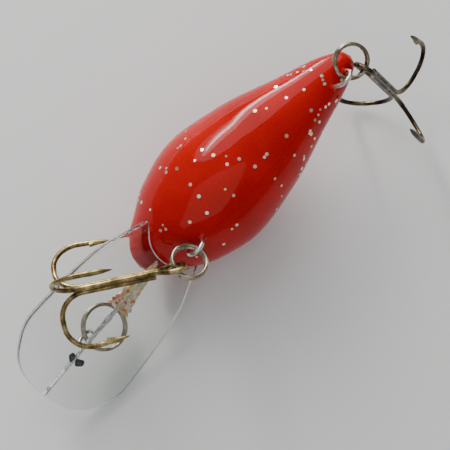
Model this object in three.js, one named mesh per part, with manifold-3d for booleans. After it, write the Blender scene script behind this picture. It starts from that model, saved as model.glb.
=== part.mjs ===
// Crankbait fishing lure: a fat two-part painted body with a clear oval diving bill, wire-form line tie
// and hook hangers, three split rings, two treble hooks, and the weights shut inside the body.
// Millimetres. The lure is drawn nose to +X, left side to +Y, back to +Z, and the whole group is then
// turned over and lowered so that it lies on a table at Z = 0 on its right flank and bill edge.

import * as THREE from "three";
import { mergeVertices } from "three/addons/utils/BufferGeometryUtils.js";
import Module from "manifold-3d";

const wasm = await Module();
wasm.setup();

// ---------------------------------------------------------------- driving dimensions

// lying pose
const ROLL_DEG = 141.6;
const NOSE_DOWN_DEG = 13.8;
const TABLE_LIFT = 22.65;
const TABLE_SHIFT_X = -31.86;
const TABLE_SHIFT_Y = -3.12;

// body: distance from the rear datum, half width, belly height, back height
const BODY_PROFILE = [
  [-3.6, 0, 0.2, 0.2],
  [-3.0, 1.75, -1.2, 1.7],
  [-1.3, 2.8, -2.3, 3.3],
  [1.5, 4.1, -3.3, 5.0],
  [9.4, 6.7, -5.2, 8.0],
  [21.8, 10.7, -8.6, 13.0],
  [33.3, 12.5, -10.0, 15.2],
  [42.6, 10.4, -7.9, 13.3],
  [48.9, 7.0, -3.9, 9.8],
  [50.6, 6.1, -2.2, 8.6],
  [52.6, 4.6, -0.4, 6.6],
  [54.3, 2.6, 1.2, 4.6],
  [55, 0, 2.9, 2.9],
];
const BODY_SIDES = 40;
const WALL = 1.8;
const CAVITY_REAR = 8;
const CAVITY_FRONT = 41.5;
const SEAM_GAP = 0.1;
const FIT_GAP = 0.3;

// clear bill: distance ahead of the chin, half width
const BILL_OUTLINE = [
  [0, 8.4],
  [7.2, 11.2],
  [16.1, 12.5],
  [25.1, 13.0],
  [31.5, 10.5],
  [34.7, 6.7],
  [35.8, 0],
];
const BILL_TONGUE_WIDTH = 6.2;
const BILL_TONGUE_LENGTH = 6;
const BILL_LAND_START = 1.3;
const BILL_RELIEF = 0.1;
const BILL_THICKNESS = 2.2;
const BILL_BEVEL = 0.35;
const BILL_BASE_X = 49.1;
const BILL_BASE_Z = -2.3;
const BILL_DROP_DEG = 8.3;
const BILL_PEG_RADIUS = 0.45;
const BILL_PEG_AHEAD = 27.6;
const BILL_PEG_LENGTH = 1.7;

// locating pegs between the two body shells: along the body, height
const BODY_PEGS = [
  [17, 7.0],
  [29, 11.0],
  [40, 9.6],
];
const PEG_RADIUS = 1.2;
const PEG_LENGTH = 2.6;
const BOSS_RADIUS = 2.3;

// wire forms
const WIRE_RADIUS = 0.43;
const WIRE_SIDES = 8;
const TIE_EYE_AHEAD = 22.2;
const TIE_EYE_RADIUS = 1.85;
const TIE_EYE_RISE = 2.7;
const TIE_FRONT_TAIL = 3.2;
const TIE_REAR_END = -4.6;
const HANGER_EYE_RADIUS = 1.8;
const HANGER_FOOT = 2.2;
const HANGER_BURIED = 3.2;
const BELLY_HANGER_X = 42.8;
const TAIL_HANGER_X = 1.6;
const TAIL_HANGER_Z = -2.9;

// split rings
const RING_WIRE_RADIUS = 0.36;
const RING_PITCH = 0.82;
const RING_TURNS = 1.93;
const HOOK_RING_RADIUS = 3.35;
const TIE_RING_RADIUS = 4.4;

// treble hooks
const HOOK_WIRE_RADIUS = 0.52;
const HOOK_BUNDLE_RADIUS = 0.68;
const HOOK_EYE_RADIUS = 1.85;
const HOOK_NECK = 3.4;
const HOOK_DEPTH = 23.4;
const HOOK_GAPE = 12.1;
const HOOK_BEND_RADIUS = 4.9;
const HOOK_POINT_RISE = 12.3;
const HOOK_POINT_LEAN = 1.1;
const HOOK_TAPER = 2.6;
const BARB_BACK = 3.4;
const BARB_LENGTH = 1.7;
const BARB_RADIUS = 0.3;

// weights inside the body
const BALLAST_RADIUS = 3.4;
const BALLAST_LENGTH = 11;
const BALLAST_X = 29.2;
const BALLAST_Z = -4.2;
const BALL_RADIUS = 2.2;
const RATTLE_BORE = 2.55;
const RATTLE_X = 20;
const RATTLE_Z = 2.2;
const RATTLE_LENGTH = 14.6;
const RATTLE_BLOCK = 3.3;
const RATTLE_BALL_REAR = -2.25;
const RATTLE_BALL_FRONT = 5;

// ---------------------------------------------------------------- small helpers

const degrees = THREE.MathUtils.degToRad;
const vector = (x, y, z) => new THREE.Vector3(x, y, z);

// smooth curve through the rows of a table, without overshoot, for one column
function tableValue(table, column, x) {
  const last = table.length - 1;
  if (x <= table[0][0]) return table[0][column];
  if (x >= table[last][0]) return table[last][column];
  const slopes = [];
  for (let i = 0; i < last; i += 1) {
    slopes.push((table[i + 1][column] - table[i][column]) / (table[i + 1][0] - table[i][0]));
  }
  const tangent = (i) => {
    if (i === 0) return slopes[0];
    if (i === last) return slopes[last - 1];
    if (slopes[i - 1] * slopes[i] <= 0) return 0;
    return (2 * slopes[i - 1] * slopes[i]) / (slopes[i - 1] + slopes[i]);
  };
  let i = 0;
  while (x > table[i + 1][0]) i += 1;
  const width = table[i + 1][0] - table[i][0];
  const t = (x - table[i][0]) / width;
  const start = (1 + 2 * t) * (1 - t) * (1 - t);
  const end = t * t * (3 - 2 * t);
  const startSlope = t * (1 - t) * (1 - t) * width;
  const endSlope = t * t * (t - 1) * width;
  return (
    table[i][column] * start +
    table[i + 1][column] * end +
    tangent(i) * startSlope +
    tangent(i + 1) * endSlope
  );
}

// closed surface over rings of points that all have the same count, with a fan at each end
function loftGeometry(rings) {
  const count = rings[0].length;
  const positions = [];
  const indices = [];
  rings.forEach((ring) => ring.forEach((point) => positions.push(point.x, point.y, point.z)));
  for (let r = 0; r < rings.length - 1; r += 1) {
    for (let i = 0; i < count; i += 1) {
      const a = r * count + i;
      const b = r * count + ((i + 1) % count);
      indices.push(a, b, a + count);
      indices.push(b, b + count, a + count);
    }
  }
  [0, rings.length - 1].forEach((r, side) => {
    const centre = rings[r].reduce((sum, point) => sum.add(point), vector(0, 0, 0));
    centre.divideScalar(count);
    const middle = positions.length / 3;
    positions.push(centre.x, centre.y, centre.z);
    for (let i = 0; i < count; i += 1) {
      const a = r * count + i;
      const b = r * count + ((i + 1) % count);
      if (side === 0) indices.push(middle, b, a);
      else indices.push(middle, a, b);
    }
  });
  const geometry = new THREE.BufferGeometry();
  geometry.setAttribute("position", new THREE.Float32BufferAttribute(positions, 3));
  geometry.setIndex(indices);
  return geometry;
}

// path through points with rounded corners; each row is [point, corner radius]
function roundedPath(rows, stepDegrees = 18) {
  const path = [rows[0][0].clone()];
  for (let i = 1; i < rows.length - 1; i += 1) {
    const [corner, radius] = rows[i];
    const back = rows[i - 1][0].clone().sub(corner).normalize();
    const ahead = rows[i + 1][0].clone().sub(corner).normalize();
    const turn = Math.PI - back.angleTo(ahead);
    const reach = radius * Math.tan(turn / 2);
    const from = corner.clone().addScaledVector(back, reach);
    const inward = back.clone().add(ahead).normalize();
    const centre = corner.clone().addScaledVector(inward, radius / Math.cos(turn / 2));
    const arm = from.clone().sub(centre);
    const axis = back.clone().cross(ahead).normalize();
    const steps = Math.max(1, Math.round(turn / degrees(stepDegrees)));
    for (let k = 0; k <= steps; k += 1) {
      const swung = arm.clone().applyAxisAngle(axis, (-turn * k) / steps);
      path.push(centre.clone().add(swung));
    }
  }
  path.push(rows[rows.length - 1][0].clone());
  return path;
}

// solid round wire along a path; pointed ends shrink over the taper length
function wireGeometry(path, radius, sides, taperStart = 0, taperEnd = 0) {
  const reach = [0];
  for (let i = 1; i < path.length; i += 1) {
    reach.push(reach[i - 1] + path[i].distanceTo(path[i - 1]));
  }
  const total = reach[reach.length - 1];
  const tangents = path.map((point, i) => {
    const before = path[Math.max(0, i - 1)];
    const after = path[Math.min(path.length - 1, i + 1)];
    return after.clone().sub(before).normalize();
  });
  const seed = Math.abs(tangents[0].y) < 0.9 ? vector(0, 1, 0) : vector(1, 0, 0);
  let side = seed.cross(tangents[0]).normalize();
  const rings = path.map((point, i) => {
    if (i > 0) {
      const turn = new THREE.Quaternion().setFromUnitVectors(tangents[i - 1], tangents[i]);
      side = side.clone().applyQuaternion(turn).normalize();
    }
    const up = tangents[i].clone().cross(side);
    let size = radius;
    if (taperStart > 0) size = Math.min(size, radius * (0.12 + (0.88 * reach[i]) / taperStart));
    if (taperEnd > 0) size = Math.min(size, radius * (0.12 + (0.88 * (total - reach[i])) / taperEnd));
    const ring = [];
    for (let k = 0; k < sides; k += 1) {
      const angle = (2 * Math.PI * k) / sides;
      const offset = side.clone().multiplyScalar(size * Math.cos(angle));
      offset.addScaledVector(up, size * Math.sin(angle));
      ring.push(point.clone().add(offset));
    }
    return ring;
  });
  return loftGeometry(rings);
}

// booleans
function toSolid(geometry) {
  const bare = new THREE.BufferGeometry();
  bare.setAttribute("position", geometry.getAttribute("position").clone());
  if (geometry.index) bare.setIndex(geometry.index.clone());
  const merged = mergeVertices(bare, 1e-5);
  const mesh = new wasm.Mesh({
    numProp: 3,
    vertProperties: new Float32Array(merged.getAttribute("position").array),
    triVerts: new Uint32Array(merged.index.array),
  });
  return new wasm.Manifold(mesh);
}

function toGeometry(solid) {
  const mesh = solid.getMesh();
  const geometry = new THREE.BufferGeometry();
  geometry.setAttribute("position", new THREE.BufferAttribute(new Float32Array(mesh.vertProperties), 3));
  geometry.setIndex(new THREE.BufferAttribute(new Uint32Array(mesh.triVerts), 1));
  geometry.computeVertexNormals();
  return geometry;
}

function boxSolid(sizeX, sizeY, sizeZ, x, y, z) {
  return toSolid(new THREE.BoxGeometry(sizeX, sizeY, sizeZ).translate(x, y, z));
}

// round bar across the body, from one Y to another
function crossBar(radius, fromY, toY, x, z, sides = 20) {
  const length = Math.abs(toY - fromY);
  const bar = new THREE.CylinderGeometry(radius, radius, length, sides);
  return toSolid(bar.translate(x, (fromY + toY) / 2, z));
}

// ---------------------------------------------------------------- materials and part list

const lure = new THREE.Group();
lure.name = "lure";

function addPart(parent, name, geometry, colour, roughness, metalness) {
  const material = new THREE.MeshStandardMaterial({ color: colour, roughness, metalness });
  const mesh = new THREE.Mesh(geometry, material);
  mesh.name = name;
  parent.add(mesh);
  return mesh;
}

// frame given by an origin, the direction of its Z axis and a direction near its X axis
function placedGroup(name, origin, zDirection, xDirection) {
  const z = zDirection.clone().normalize();
  const x = xDirection.clone().addScaledVector(z, -xDirection.dot(z)).normalize();
  const y = z.clone().cross(x);
  const group = new THREE.Group();
  group.name = name;
  group.position.copy(origin);
  group.quaternion.setFromRotationMatrix(new THREE.Matrix4().makeBasis(x, y, z));
  lure.add(group);
  return group;
}

// ---------------------------------------------------------------- bill frame and wire paths

const billSlope = degrees(BILL_DROP_DEG);
const billPoint = (ahead, side, rise) => vector(
  BILL_BASE_X + ahead * Math.cos(billSlope) + rise * Math.sin(billSlope),
  side,
  BILL_BASE_Z - ahead * Math.sin(billSlope) + rise * Math.cos(billSlope),
);

const tieMiddle = BILL_THICKNESS / 2;
const tieTop = BILL_THICKNESS + TIE_EYE_RISE;
const tieFront = TIE_EYE_AHEAD + TIE_EYE_RADIUS;
const tieRear = TIE_EYE_AHEAD - TIE_EYE_RADIUS;
const tiePath = roundedPath([
  [billPoint(tieFront + TIE_FRONT_TAIL, 0, tieMiddle), 0],
  [billPoint(tieFront, 0, tieMiddle), 0.8],
  [billPoint(tieFront, 0, tieTop), TIE_EYE_RADIUS - 0.05],
  [billPoint(tieRear, 0, tieTop), TIE_EYE_RADIUS - 0.05],
  [billPoint(tieRear, 0, tieMiddle), 0.8],
  [billPoint(TIE_REAR_END, 0, tieMiddle), 0],
]);

// staple with outward feet; along = direction of the eye row, out = away from the body
function staplePath(centre, along, out, rise) {
  const at = (a, o) => centre.clone().addScaledVector(along, a).addScaledVector(out, o);
  const half = HANGER_EYE_RADIUS;
  return roundedPath([
    [at(-half - HANGER_FOOT, -HANGER_BURIED), 0],
    [at(-half, -HANGER_BURIED), 0.7],
    [at(-half, rise), half - 0.05],
    [at(half, rise), half - 0.05],
    [at(half, -HANGER_BURIED), 0.7],
    [at(half + HANGER_FOOT, -HANGER_BURIED), 0],
  ]);
}

const bellyAlong = vector(0.92, 0, 0.39).normalize();
const bellyOut = vector(0.39, 0, -0.92).normalize();
const bellySeat = vector(BELLY_HANGER_X, 0, tableValue(BODY_PROFILE, 2, BELLY_HANGER_X));
const bellyHangerPath = staplePath(bellySeat, bellyAlong, bellyOut, 3.0);

const tailAlong = vector(0.8, 0, -0.6).normalize();
const tailOut = vector(-0.6, 0, -0.8).normalize();
const tailSeat = vector(TAIL_HANGER_X, 0, TAIL_HANGER_Z);
const tailHangerPath = staplePath(tailSeat, tailAlong, tailOut, 3.3);

// loose channel around a buried wire, a little longer than the wire at both ends
function channelFor(path) {
  const first = path[0].clone().sub(path[1]).normalize().multiplyScalar(FIT_GAP).add(path[0]);
  const count = path.length;
  const last = path[count - 1].clone().sub(path[count - 2]).normalize();
  last.multiplyScalar(FIT_GAP).add(path[count - 1]);
  return toSolid(wireGeometry([first, ...path.slice(1, -1), last], WIRE_RADIUS + 0.25, 10));
}

// ---------------------------------------------------------------- body shells

function bodyRings(stations, inset) {
  return stations.map((x) => {
    const bottom = tableValue(BODY_PROFILE, 2, x) + inset;
    const top = tableValue(BODY_PROFILE, 3, x) - inset;
    const halfWidth = Math.max(0.02, tableValue(BODY_PROFILE, 1, x) - inset);
    const halfHeight = Math.max(0.02, (top - bottom) / 2);
    const ring = [];
    for (let k = 0; k < BODY_SIDES; k += 1) {
      const angle = (2 * Math.PI * k) / BODY_SIDES;
      const side = halfWidth * Math.cos(angle);
      ring.push(vector(x, side, (top + bottom) / 2 + halfHeight * Math.sin(angle)));
    }
    return ring;
  });
}

function spacedStations(from, to, count) {
  const stations = [];
  for (let i = 0; i <= count; i += 1) {
    const even = i / count;
    const rounded = (1 - Math.cos(Math.PI * even)) / 2;
    stations.push(from + (to - from) * (0.45 * even + 0.55 * rounded));
  }
  return stations;
}

const bodyRear = BODY_PROFILE[0][0];
const bodyNose = BODY_PROFILE[BODY_PROFILE.length - 1][0];
const outerStations = spacedStations(bodyRear + 0.02, bodyNose - 0.02, 36);
const outerBody = toSolid(loftGeometry(bodyRings(outerStations, 0)));
const cavity = toSolid(loftGeometry(bodyRings(spacedStations(CAVITY_REAR, CAVITY_FRONT, 16), WALL)));

function billShape(gap) {
  const outline = [];
  const length = BILL_OUTLINE[BILL_OUTLINE.length - 1][0];
  const rounded = BILL_OUTLINE.map(([ahead, width]) => [1 - Math.sqrt(1 - ahead / length), width]);
  for (let i = 0; i <= 30; i += 1) {
    const share = i / 30;
    const ahead = length * (1 - (1 - share) * (1 - share));
    outline.push([ahead + gap * share, tableValue(rounded, 1, share) + gap * (1 - share)]);
  }
  const shape = new THREE.Shape();
  shape.moveTo(-BILL_TONGUE_LENGTH - gap, -BILL_TONGUE_WIDTH - gap);
  outline.forEach(([ahead, width]) => shape.lineTo(ahead, -width));
  outline.slice(0, -1).reverse().forEach(([ahead, width]) => shape.lineTo(ahead, width));
  shape.lineTo(-BILL_TONGUE_LENGTH - gap, BILL_TONGUE_WIDTH + gap);
  shape.closePath();
  return shape;
}

// plate lying in the bill plane, thickened by a gap for cutting its seat
function billSolid(gap) {
  const bevel = gap > 0 ? 0 : BILL_BEVEL;
  const plate = new THREE.ExtrudeGeometry(billShape(gap), {
    depth: BILL_THICKNESS + 2 * gap - 2 * bevel,
    bevelEnabled: bevel > 0,
    bevelSize: bevel,
    bevelOffset: -bevel,
    bevelThickness: bevel,
    bevelSegments: 2,
  });
  plate.translate(0, 0, bevel - gap);
  plate.rotateY(billSlope);
  plate.translate(BILL_BASE_X, 0, BILL_BASE_Z);
  return toSolid(plate);
}

const ballastBore = new THREE.CylinderGeometry(BALLAST_RADIUS + FIT_GAP, BALLAST_RADIUS + FIT_GAP,
  BALLAST_LENGTH + 2 * FIT_GAP, 24);
ballastBore.rotateZ(Math.PI / 2).translate(BALLAST_X, 0, BALLAST_Z);
const ballastHollow = toSolid(ballastBore);

function ballastSeat(side) {
  return boxSolid(BALLAST_LENGTH + 4, 7, 4.2, BALLAST_X, side * 3.5, BALLAST_Z - 3.4);
}

function rattleChamber(side) {
  const block = boxSolid(RATTLE_LENGTH + 2.4, RATTLE_BLOCK, 2 * RATTLE_BLOCK,
    RATTLE_X, (side * RATTLE_BLOCK) / 2, RATTLE_Z);
  const bore = new THREE.CylinderGeometry(RATTLE_BORE, RATTLE_BORE, RATTLE_LENGTH, 20);
  bore.rotateZ(Math.PI / 2).translate(RATTLE_X, 0, RATTLE_Z);
  return [block, toSolid(bore)];
}

function hangerBlock(centre, out, along, side, length, depth) {
  const block = new THREE.BoxGeometry(length, 3.2, depth);
  const turn = new THREE.Matrix4().makeBasis(along, vector(0, 1, 0), along.clone().cross(vector(0, 1, 0)));
  block.applyMatrix4(turn);
  const middle = centre.clone().addScaledVector(out, -depth / 2 + 0.6);
  block.translate(middle.x, side * 1.6, middle.z);
  return toSolid(block);
}

const bodySlot = billSolid(FIT_GAP);

function bodyShell(side) {
  const half = boxSolid(80, 30, 60, 26, side * (15 + SEAM_GAP), 0);
  let shell = outerBody.subtract(cavity);
  const [chamber, bore] = rattleChamber(side);
  shell = shell.add(chamber.intersect(outerBody)).subtract(bore);
  shell = shell.add(ballastSeat(side).intersect(outerBody));
  const bellyBlock = hangerBlock(bellySeat, bellyOut, bellyAlong, side, 10.4, 6.4);
  shell = shell.add(bellyBlock.intersect(outerBody));
  BODY_PEGS.forEach(([x, z]) => {
    const reach = tableValue(BODY_PROFILE, 1, x) + 1;
    shell = shell.add(crossBar(BOSS_RADIUS, 0, side * reach, x, z).intersect(outerBody));
  });
  shell = shell.subtract(ballastHollow);
  shell = shell.subtract(bodySlot);
  [bellyHangerPath, tailHangerPath, tiePath].forEach((path) => {
    shell = shell.subtract(channelFor(path));
  });
  shell = shell.intersect(half);
  BODY_PEGS.forEach(([x, z]) => {
    if (side > 0) shell = shell.add(crossBar(PEG_RADIUS, -PEG_LENGTH, 1, x, z));
    else shell = shell.subtract(crossBar(PEG_RADIUS + 0.25, -PEG_LENGTH - 0.4, 1, x, z));
  });
  return toGeometry(shell);
}

addPart(lure, "body_shell_left", bodyShell(1), 0xd81a08, 0.18, 0);
addPart(lure, "body_shell_right", bodyShell(-1), 0xd81a08, 0.18, 0);

// ---------------------------------------------------------------- clear bill halves

// shallow relief behind the chin, so the blade's open flat starts just clear of the body
function chinRelief() {
  const relief = new THREE.BoxGeometry(20, 40, 2);
  relief.translate(BILL_LAND_START - 10, 0, BILL_RELIEF - 1);
  relief.rotateY(billSlope);
  relief.translate(BILL_BASE_X, 0, BILL_BASE_Z);
  return toSolid(relief);
}

const wholeBill = billSolid(0).subtract(chinRelief());

function billHalf(side) {
  const half = boxSolid(90, 30, 60, 60, side * (15 + SEAM_GAP), 0);
  let plate = wholeBill.subtract(channelFor(tiePath)).intersect(half);
  const peg = billPoint(BILL_PEG_AHEAD + 2.2, 0, BILL_THICKNESS / 2);
  if (side > 0) {
    plate = plate.add(crossBar(BILL_PEG_RADIUS, -BILL_PEG_LENGTH, 1, peg.x, peg.z, 12));
  } else {
    plate = plate.subtract(crossBar(BILL_PEG_RADIUS + 0.2, -BILL_PEG_LENGTH - 0.3, 1, peg.x, peg.z, 12));
  }
  return toGeometry(plate);
}

addPart(lure, "bill_half_left", billHalf(1), 0xdfe6e4, 0.08, 0);
addPart(lure, "bill_half_right", billHalf(-1), 0xdfe6e4, 0.08, 0);

// ---------------------------------------------------------------- wire forms

addPart(lure, "line_tie_wire", wireGeometry(tiePath, WIRE_RADIUS, WIRE_SIDES), 0xc9cac4, 0.25, 1);
addPart(lure, "belly_hook_hanger", wireGeometry(bellyHangerPath, WIRE_RADIUS, WIRE_SIDES), 0xc9cac4, 0.25, 1);
addPart(lure, "tail_hook_hanger", wireGeometry(tailHangerPath, WIRE_RADIUS, WIRE_SIDES), 0xc9cac4, 0.25, 1);

// ---------------------------------------------------------------- split rings

// two close coils about local Z, centre at the origin
function splitRing(radius) {
  const path = [];
  const steps = 46;
  for (let i = 0; i <= steps; i += 1) {
    const turn = RING_TURNS * (i / steps - 0.5);
    const angle = 2 * Math.PI * turn;
    path.push(vector(radius * Math.cos(angle), radius * Math.sin(angle), RING_PITCH * turn));
  }
  return wireGeometry(path, RING_WIRE_RADIUS, 7);
}

// ---------------------------------------------------------------- treble hooks

// one hook leg in the plane through the shank axis at an azimuth, from the neck to the point
function hookLeg(azimuthDegrees, neck) {
  const azimuth = degrees(azimuthDegrees);
  const at = (r, z) => vector(r * Math.cos(azimuth), r * Math.sin(azimuth), z);
  const bottom = -HOOK_DEPTH + HOOK_WIRE_RADIUS;
  return [
    [at(HOOK_BUNDLE_RADIUS, -neck), 1.2],
    [at(HOOK_BUNDLE_RADIUS, bottom), HOOK_BEND_RADIUS],
    [at(HOOK_GAPE, bottom), HOOK_BEND_RADIUS],
    [at(HOOK_GAPE - HOOK_POINT_LEAN, -HOOK_DEPTH + HOOK_POINT_RISE), 0],
  ];
}

function barb(azimuthDegrees) {
  const azimuth = degrees(azimuthDegrees);
  const cone = new THREE.ConeGeometry(BARB_RADIUS, BARB_LENGTH, 6);
  cone.rotateX(-Math.PI / 2);
  cone.rotateY(degrees(-24));
  const share = BARB_BACK / HOOK_POINT_RISE;
  const radius = HOOK_GAPE - HOOK_POINT_LEAN * (1 - share) - HOOK_WIRE_RADIUS * 0.9;
  cone.translate(radius, 0, -HOOK_DEPTH + HOOK_POINT_RISE - BARB_BACK);
  cone.rotateZ(azimuth);
  return toSolid(cone);
}

function doubleHook() {
  const left = hookLeg(0, HOOK_NECK);
  const right = hookLeg(120, HOOK_NECK);
  const middle = left[0][0].clone().add(right[0][0]).multiplyScalar(0.5);
  const across = left[0][0].clone().sub(right[0][0]).normalize();
  const at = (a, z) => vector(middle.x, middle.y, z).addScaledVector(across, a);
  const eye = HOOK_EYE_RADIUS;
  const rows = [
    ...left.slice().reverse(),
    [at(eye, -1.1), 1.1],
    [at(eye, eye), eye - 0.05],
    [at(-eye, eye), eye - 0.05],
    [at(-eye, -1.1), 1.1],
    ...right,
  ];
  const wire = wireGeometry(roundedPath(rows, 20), HOOK_WIRE_RADIUS, 8, HOOK_TAPER, HOOK_TAPER);
  return toGeometry(toSolid(wire).add(barb(0)).add(barb(120)));
}

function singleHook() {
  const rows = hookLeg(240, HOOK_NECK + 0.6);
  const wire = wireGeometry(roundedPath(rows, 20), HOOK_WIRE_RADIUS, 8, 0, HOOK_TAPER);
  return toGeometry(toSolid(wire).add(barb(240)));
}

// ---------------------------------------------------------------- rings and hooks in place

const RIGS = [
  {
    name: "belly",
    ringCentre: vector(45.87, 0.06, -11.48),
    ringAxis: vector(-0.565, 0.557, -0.609),
    hookEye: vector(48.5, 1.48, -12.62),
    shank: vector(0.826, 0.528, 0.199),
    prong: vector(-0.345, 0.193, 0.918),
    bronze: 0x8a6f34,
  },
  {
    name: "tail",
    ringCentre: vector(-2.6, 1.33, -4.08),
    ringAxis: vector(-0.041, 0.157, -0.987),
    hookEye: vector(-3.76, -1.73, -4.52),
    shank: vector(-0.069, -0.801, 0.595),
    prong: vector(0.704, 0.384, 0.597),
    bronze: 0x3a342a,
  },
];

RIGS.forEach((rig) => {
  const ringGroup = placedGroup(`${rig.name}_ring_frame`, rig.ringCentre, rig.ringAxis, vector(1, 0, 0));
  addPart(ringGroup, `${rig.name}_split_ring`, splitRing(HOOK_RING_RADIUS), 0xb9b7a8, 0.3, 1);
  const back = rig.shank.clone().negate();
  const hookGroup = placedGroup(`${rig.name}_treble_frame`, rig.hookEye, back, rig.prong);
  addPart(hookGroup, `${rig.name}_treble_double_hook`, doubleHook(), rig.bronze, 0.35, 1);
  addPart(hookGroup, `${rig.name}_treble_single_hook`, singleHook(), rig.bronze, 0.35, 1);
});

const tieRingCentre = vector(67.89, -2.01, -0.57);
const tieRingAxis = vector(-0.393, 0.177, -0.902);
const tieRingGroup = placedGroup("line_tie_ring_frame", tieRingCentre, tieRingAxis, vector(1, 0, 0));
addPart(tieRingGroup, "line_tie_split_ring", splitRing(TIE_RING_RADIUS), 0xc4c4bc, 0.3, 1);

// ---------------------------------------------------------------- weights inside

const ballast = new THREE.CylinderGeometry(BALLAST_RADIUS, BALLAST_RADIUS, BALLAST_LENGTH, 24);
ballast.rotateZ(Math.PI / 2).translate(BALLAST_X, 0, BALLAST_Z);
addPart(lure, "ballast_weight", ballast, 0x77797c, 0.5, 1);

const rattleBalls = [["rattle_ball_rear", RATTLE_BALL_REAR], ["rattle_ball_front", RATTLE_BALL_FRONT]];
rattleBalls.forEach(([name, along]) => {
  const ball = new THREE.SphereGeometry(BALL_RADIUS, 18, 12);
  ball.translate(RATTLE_X + along, 0, RATTLE_Z);
  addPart(lure, name, ball, 0xc0c2c4, 0.2, 1);
});

// ---------------------------------------------------------------- lay the lure on the table

lure.rotation.x = degrees(ROLL_DEG);
const pitched = new THREE.Group();
pitched.name = "pitched";
pitched.rotation.y = degrees(NOSE_DOWN_DEG);
pitched.add(lure);

const crankbait = new THREE.Group();
crankbait.name = "crankbait";
crankbait.position.set(TABLE_SHIFT_X, TABLE_SHIFT_Y, TABLE_LIFT);
crankbait.add(pitched);

export default crankbait;
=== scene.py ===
import math
import random

import bpy
import bmesh
from mathutils import Matrix, Quaternion, Vector


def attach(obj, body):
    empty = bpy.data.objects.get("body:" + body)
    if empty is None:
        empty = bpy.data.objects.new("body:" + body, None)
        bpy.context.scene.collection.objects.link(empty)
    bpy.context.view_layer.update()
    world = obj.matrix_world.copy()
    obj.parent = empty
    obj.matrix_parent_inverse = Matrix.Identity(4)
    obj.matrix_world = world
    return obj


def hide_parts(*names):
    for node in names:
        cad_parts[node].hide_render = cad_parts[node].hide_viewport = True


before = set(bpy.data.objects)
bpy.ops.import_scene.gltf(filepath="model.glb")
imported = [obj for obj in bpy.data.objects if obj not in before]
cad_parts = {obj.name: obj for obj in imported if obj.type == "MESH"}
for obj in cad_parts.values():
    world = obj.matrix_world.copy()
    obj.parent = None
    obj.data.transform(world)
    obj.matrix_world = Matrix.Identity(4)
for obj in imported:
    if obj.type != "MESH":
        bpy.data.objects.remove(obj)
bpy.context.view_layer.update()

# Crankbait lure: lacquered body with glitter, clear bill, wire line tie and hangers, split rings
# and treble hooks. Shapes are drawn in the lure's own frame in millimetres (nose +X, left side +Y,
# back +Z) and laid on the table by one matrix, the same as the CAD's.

# ---------------------------------------------------------------- driving sizes, millimetres

MM = 0.001
MERGE_DISTANCE = 1e-7
ROLL_DEG = 141.6
NOSE_DOWN_DEG = 13.8
TABLE_SHIFT = (-31.86, -3.12, 22.65)

# stations along the body: (x, half width, lowest z, highest z)
BODY_PROFILE = [
    (-3.6, 0, 0.2, 0.2),
    (-3.0, 1.75, -1.2, 1.7),
    (-1.3, 2.8, -2.3, 3.3),
    (1.5, 4.1, -3.3, 5.0),
    (9.4, 6.7, -5.2, 8.0),
    (21.8, 10.7, -8.6, 13.0),
    (33.3, 12.5, -10.0, 15.2),
    (42.6, 10.4, -7.9, 13.3),
    (48.9, 7.0, -3.9, 9.8),
    (50.6, 6.1, -2.2, 8.6),
    (52.6, 4.6, -0.4, 6.6),
    (54.3, 2.6, 1.2, 4.6),
    (55, 0, 2.9, 2.9),
]
BODY_HALF_WIDTH = 12.5

# stations along the bill: (distance ahead of the chin, half width)
BILL_OUTLINE = [
    (0, 8.4),
    (7.2, 11.2),
    (16.1, 12.5),
    (25.1, 13.0),
    (31.5, 10.5),
    (34.7, 6.7),
    (35.8, 0),
]
BILL_LENGTH = BILL_OUTLINE[-1][0]
BILL_TONGUE_WIDTH = 6.2
BILL_TONGUE_LENGTH = 6
BILL_THICKNESS = 2.2
BILL_EDGE_RADIUS = 0.75
BILL_BASE_X = 49.1
BILL_BASE_Z = -2.3
BILL_DROP_DEG = 8.3
BILL_SEAM_HALF = 0.1
BILL_EDGE_STEPS = 6
BILL_RIM_STEPS = 72

WELD_STEPS = 150
WELD_START = 2.0
WELD_END_GAP = 0.25
WELD_FADE_IN = 1.5
WELD_FADE_OUT = 0.8
WELD_HALF_WIDTH = (0.10, 0.42)
WELD_FIRST_HALF_WIDTH = 0.2
WELD_LEAST_HALF_WIDTH = 0.03
WELD_WANDER = 0.07
WELD_PROUD = 0.05
WELD_INSET = 0.06
WELD_SHOULDER = 0.15
WELD_WAIST = 0.6

WEDGE_STEPS = 26
WEDGE_SPAN = (2.2, 14.0)
WEDGE_NEAR_HALF_WIDTH = 0.45
WEDGE_WIDENING = 2.3
WEDGE_FLARE = 1.1
WEDGE_RAGGED_WIDTH = 0.15
WEDGE_RAGGED_AHEAD = 0.12
WEDGE_RAGGED_HEIGHT = 0.05
# layers of the wedge: (share of its width, height in the bill)
WEDGE_LAYERS = ((0.85, 0.25), (1.0, 0.45), (1.0, 0.75), (0.85, 1.0))

PEG_AHEAD = 26.6
PEG_LOBE_SIDE = 0.92
PEG_SHIFT = 0.5
PEG_HEIGHT = 0.95
PEG_LOBE_RADII = (0.85, 0.98, 0.6)
PEG_WOBBLE = 0.16
PEG_WOBBLE_RATE = 3.4

LIP_RADIUS = 0.14
LIP_REACH = 7.2
LIP_STEPS = 60
LIP_TAPER = 3.2
LIP_END_SHARE = 0.12
# Rim line: a thin white line in the clear rim, which is a painted highlight.
RIM_HIGHLIGHT_RADIUS = 0.13
RIM_HIGHLIGHT_START = 1.6
RIM_HIGHLIGHT_STEPS = 60
RIM_HIGHLIGHT_TIP_INSET = 0.1
RIM_HIGHLIGHT_SIDE_INSET = 0.06
RIM_HIGHLIGHT_LEAST_HALF_WIDTH = 0.35

LACQUER_PROUD = 0.03
LACQUER_DEEP = 0.12
LACQUER_SEAM = 0.012
COAT_STATIONS = 130
COAT_AROUND = 56
COAT_EVEN_SHARE = 0.3
COAT_ROUNDED_SHARE = 0.7

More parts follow.
